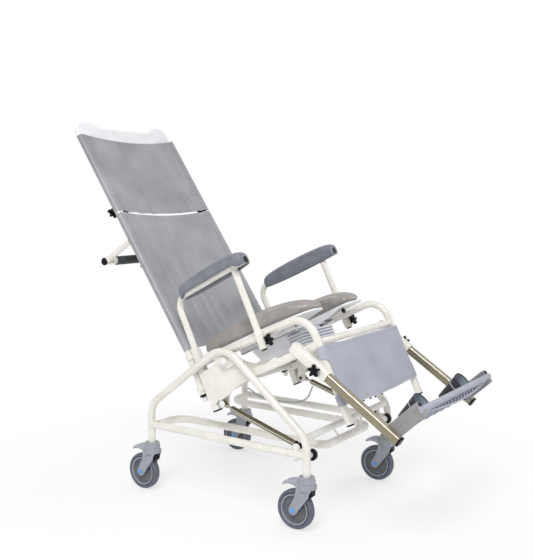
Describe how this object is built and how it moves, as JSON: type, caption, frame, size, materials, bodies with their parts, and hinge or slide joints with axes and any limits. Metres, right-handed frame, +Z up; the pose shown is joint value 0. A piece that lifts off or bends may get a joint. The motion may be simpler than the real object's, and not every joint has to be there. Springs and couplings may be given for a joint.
{
  "type": "shower commode chair",
  "caption": "Tilting wheeled shower and toilet chair with sling back, horseshoe seat over a sliding pan, lifting armrests, leg supports and braked castors.",
  "frame": {"origin": "floor point under the middle of the bounding box, in the chair's symmetry plane", "axes": "+X to the occupant's left, +Y to the rear, +Z up; the chair faces -Y, tilted back as in the picture"},
  "size_m": [0.631, 1.4156, 1.2996],
  "materials": {
    "enamel": "cream white powder coat, satin",
    "castor_plastic": "grey moulded plastic",
    "tread": "grey-blue soft tyre",
    "pale_plastic": "pale grey moulded plastic",
    "black_rubber": "black, matt",
    "black_plastic": "black moulded plastic",
    "white_plastic": "white, smooth",
    "strut_metal": "bright drawn tube",
    "champagne": "champagne anodised",
    "slate_pad": "slate grey foam skin",
    "taupe_vinyl": "taupe vinyl over foam",
    "grey_vinyl": "grey coated cloth",
    "lilac_vinyl": "lilac grey coated cloth",
    "pan_plastic": "pale blue grey",
    "plate_plastic": "lilac grey, ribbed"
  },
  "bodies": {
    "base": {"base_side_frame_right": "enamel", "base_side_frame_left": "enamel", "base_floor_frame": "enamel", "tilt_pivot_pin_right": "white_plastic", "tilt_pivot_pin_left": "white_plastic", "front_bumper_right": "black_rubber", "front_bumper_left": "black_rubber", "release_cable": "black_plastic"},
    "seat": {"seat_rail_right": "enamel", "seat_rail_left": "enamel", "mechanism_side_right": "enamel", "mechanism_side_left": "enamel", "calf_cross_tube": "enamel", "rear_cross_tube": "enamel", "back_tube_right": "enamel", "back_tube_left": "enamel", "push_bar": "enamel", "push_grip": "black_rubber", "back_sling": "grey_vinyl", "calf_sling": "lilac_vinyl", "seat_cushion": "taupe_vinyl", "seat_ring": "white_plastic"},
    "fork_front_right": {"caster_fork_front_right": "castor_plastic"},
    "wheel_front_right": {"caster_wheel_front_right": "castor_plastic", "caster_tyre_front_right": "tread"},
    "pedal_front_right": {"brake_pedal_front_right": "pale_plastic"},
    "fork_rear_right": {"caster_fork_rear_right": "castor_plastic"},
    "wheel_rear_right": {"caster_wheel_rear_right": "castor_plastic", "caster_tyre_rear_right": "tread"},
    "pedal_rear_right": {"brake_pedal_rear_right": "pale_plastic"},
    "fork_front_left": {"caster_fork_front_left": "castor_plastic"},
    "wheel_front_left": {"caster_wheel_front_left": "castor_plastic", "caster_tyre_front_left": "tread"},
    "pedal_front_left": {"brake_pedal_front_left": "pale_plastic"},
    "fork_rear_left": {"caster_fork_rear_left": "castor_plastic"},
    "wheel_rear_left": {"caster_wheel_rear_left": "castor_plastic", "caster_tyre_rear_left": "tread"},
    "pedal_rear_left": {"brake_pedal_rear_left": "pale_plastic"},
    "arm_right": {"arm_frame_right": "enamel", "arm_pad_right": "slate_pad"},
    "arm_knob_right": {"arm_knob_right": "black_plastic"},
    "leg_knob_right": {"leg_knob_right": "black_plastic"},
    "head_knob_right": {"head_knob_right": "black_plastic"},
    "arm_left": {"arm_frame_left": "enamel", "arm_pad_left": "slate_pad"},
    "arm_knob_left": {"arm_knob_left": "black_plastic"},
    "leg_knob_left": {"leg_knob_left": "black_plastic"},
    "head_knob_left": {"head_knob_left": "black_plastic"},
    "head_section": {"head_frame": "enamel", "head_sling": "grey_vinyl"},
    "legs": {"leg_rod_right": "champagne", "leg_rod_left": "champagne"},
    "footrest": {"footplate": "plate_plastic", "heel_strap_right": "grey_vinyl", "heel_strap_left": "grey_vinyl"},
    "pan": {"commode_pan": "pan_plastic"},
    "strut_cylinder_right": {"strut_cylinder_right": "strut_metal"},
    "strut_rod_right": {"strut_rod_right": "strut_metal"},
    "strut_cylinder_left": {"strut_cylinder_left": "strut_metal"},
    "strut_rod_left": {"strut_rod_left": "strut_metal"}
  },
  "joints": [
    {"name": "seat_tilt", "type": "hinge", "parent": "base", "child": "seat", "pos_m": [0, -0.01066, 0.491], "axis": [-1, 0, 0], "range_deg": [-23.3, 4.2]},
    {"name": "swivel_front_right", "type": "hinge", "parent": "base", "child": "fork_front_right", "pos_m": [-0.2728, -0.32826, 0.15], "axis": [0, 0, 1], "continuous": true},
    {"name": "roll_front_right", "type": "hinge", "parent": "fork_front_right", "child": "wheel_front_right", "pos_m": [-0.2728, -0.29026, 0.0625], "axis": [1, 0, 0], "continuous": true},
    {"name": "brake_front_right", "type": "hinge", "parent": "fork_front_right", "child": "pedal_front_right", "pos_m": [-0.2728, -0.30246, 0.1398], "axis": [-1, 0, 0], "range_deg": [0, 12]},
    {"name": "swivel_rear_right", "type": "hinge", "parent": "base", "child": "fork_rear_right", "pos_m": [-0.2728, 0.30674, 0.15], "axis": [0, 0, 1], "continuous": true},
    {"name": "roll_rear_right", "type": "hinge", "parent": "fork_rear_right", "child": "wheel_rear_right", "pos_m": [-0.2728, 0.34474, 0.0625], "axis": [1, 0, 0], "continuous": true},
    {"name": "brake_rear_right", "type": "hinge", "parent": "fork_rear_right", "child": "pedal_rear_right", "pos_m": [-0.2728, 0.33254, 0.1398], "axis": [-1, 0, 0], "range_deg": [0, 12]},
    {"name": "swivel_front_left", "type": "hinge", "parent": "base", "child": "fork_front_left", "pos_m": [0.2728, -0.32826, 0.15], "axis": [0, 0, 1], "continuous": true},
    {"name": "roll_front_left", "type": "hinge", "parent": "fork_front_left", "child": "wheel_front_left", "pos_m": [0.2728, -0.29026, 0.0625], "axis": [1, 0, 0], "continuous": true},
    {"name": "brake_front_left", "type": "hinge", "parent": "fork_front_left", "child": "pedal_front_left", "pos_m": [0.2728, -0.30246, 0.1398], "axis": [-1, 0, 0], "range_deg": [0, 12]},
    {"name": "swivel_rear_left", "type": "hinge", "parent": "base", "child": "fork_rear_left", "pos_m": [0.2728, 0.30674, 0.15], "axis": [0, 0, 1], "continuous": true},
    {"name": "roll_rear_left", "type": "hinge", "parent": "fork_rear_left", "child": "wheel_rear_left", "pos_m": [0.2728, 0.34474, 0.0625], "axis": [1, 0, 0], "continuous": true},
    {"name": "brake_rear_left", "type": "hinge", "parent": "fork_rear_left", "child": "pedal_rear_left", "pos_m": [0.2728, 0.33254, 0.1398], "axis": [-1, 0, 0], "range_deg": [0, 12]},
    {"name": "arm_height_right", "type": "slide", "parent": "seat", "child": "arm_right", "axis": [0, 0.4352, 0.9003], "range_m": [0, 0.05]},
    {"name": "arm_clamp_right", "type": "hinge", "parent": "seat", "child": "arm_knob_right", "pos_m": [-0.27, -0.17393, 0.57326], "axis": [0, -0.9003, 0.4352], "range_deg": [0, 360]},
    {"name": "leg_clamp_right", "type": "hinge", "parent": "seat", "child": "leg_knob_right", "pos_m": [-0.2955, -0.37323, 0.51], "axis": [-1, 0, 0], "range_deg": [0, 360]},
    {"name": "head_clamp_right", "type": "hinge", "parent": "seat", "child": "head_knob_right", "pos_m": [-0.2445, 0.49606, 0.97169], "axis": [0, 0.8274, -0.5617], "range_deg": [0, 360]},
    {"name": "arm_height_left", "type": "slide", "parent": "seat", "child": "arm_left", "axis": [0, 0.4352, 0.9003], "range_m": [0, 0.05]},
    {"name": "arm_clamp_left", "type": "hinge", "parent": "seat", "child": "arm_knob_left", "pos_m": [0.27, -0.17393, 0.57326], "axis": [0, -0.9003, 0.4352], "range_deg": [0, 360]},
    {"name": "leg_clamp_left", "type": "hinge", "parent": "seat", "child": "leg_knob_left", "pos_m": [0.2955, -0.37323, 0.51], "axis": [1, 0, 0], "range_deg": [0, 360]},
    {"name": "head_clamp_left", "type": "hinge", "parent": "seat", "child": "head_knob_left", "pos_m": [0.2445, 0.49606, 0.97169], "axis": [0, 0.8274, -0.5617], "range_deg": [0, 360]},
    {"name": "head_height", "type": "slide", "parent": "seat", "child": "head_section", "axis": [0, 0.5616, 0.8274], "range_m": [0, 0.06]},
    {"name": "leg_length", "type": "slide", "parent": "seat", "child": "legs", "axis": [0, -0.8348, -0.5505], "range_m": [-0.08, 0.06]},
    {"name": "footplate_flip", "type": "hinge", "parent": "legs", "child": "footrest", "pos_m": [0, -0.6195, 0.34759], "axis": [-1, 0, 0], "range_deg": [0, 80]},
    {"name": "pan_slide", "type": "slide", "parent": "seat", "child": "pan", "axis": [0, -0.9003, 0.4352], "range_m": [0, 0.3]},
    {"name": "strut_swing_right", "type": "hinge", "parent": "base", "child": "strut_cylinder_right", "pos_m": [-0.246, -0.28526, 0.252], "axis": [1, 0, 0], "range_deg": [-3, 3]},
    {"name": "strut_stroke_right", "type": "slide", "parent": "strut_cylinder_right", "child": "strut_rod_right", "axis": [0, 0.9561, 0.2932], "range_m": [-0.0125, 0.0625]},
    {"name": "strut_swing_left", "type": "hinge", "parent": "base", "child": "strut_cylinder_left", "pos_m": [0.246, -0.28526, 0.252], "axis": [1, 0, 0], "range_deg": [-3, 3]},
    {"name": "strut_stroke_left", "type": "slide", "parent": "strut_cylinder_left", "child": "strut_rod_left", "axis": [0, 0.9561, 0.2932], "range_m": [-0.0125, 0.0625]}
  ],
  "couplings": [
    {"joint": "strut_swing_right", "follows": "seat_tilt", "ratio": -0.012},
    {"joint": "strut_stroke_right", "follows": "seat_tilt", "m_per_rad": -0.14696},
    {"joint": "strut_swing_left", "follows": "seat_tilt", "ratio": -0.012},
    {"joint": "strut_stroke_left", "follows": "seat_tilt", "m_per_rad": -0.14696}
  ]
}
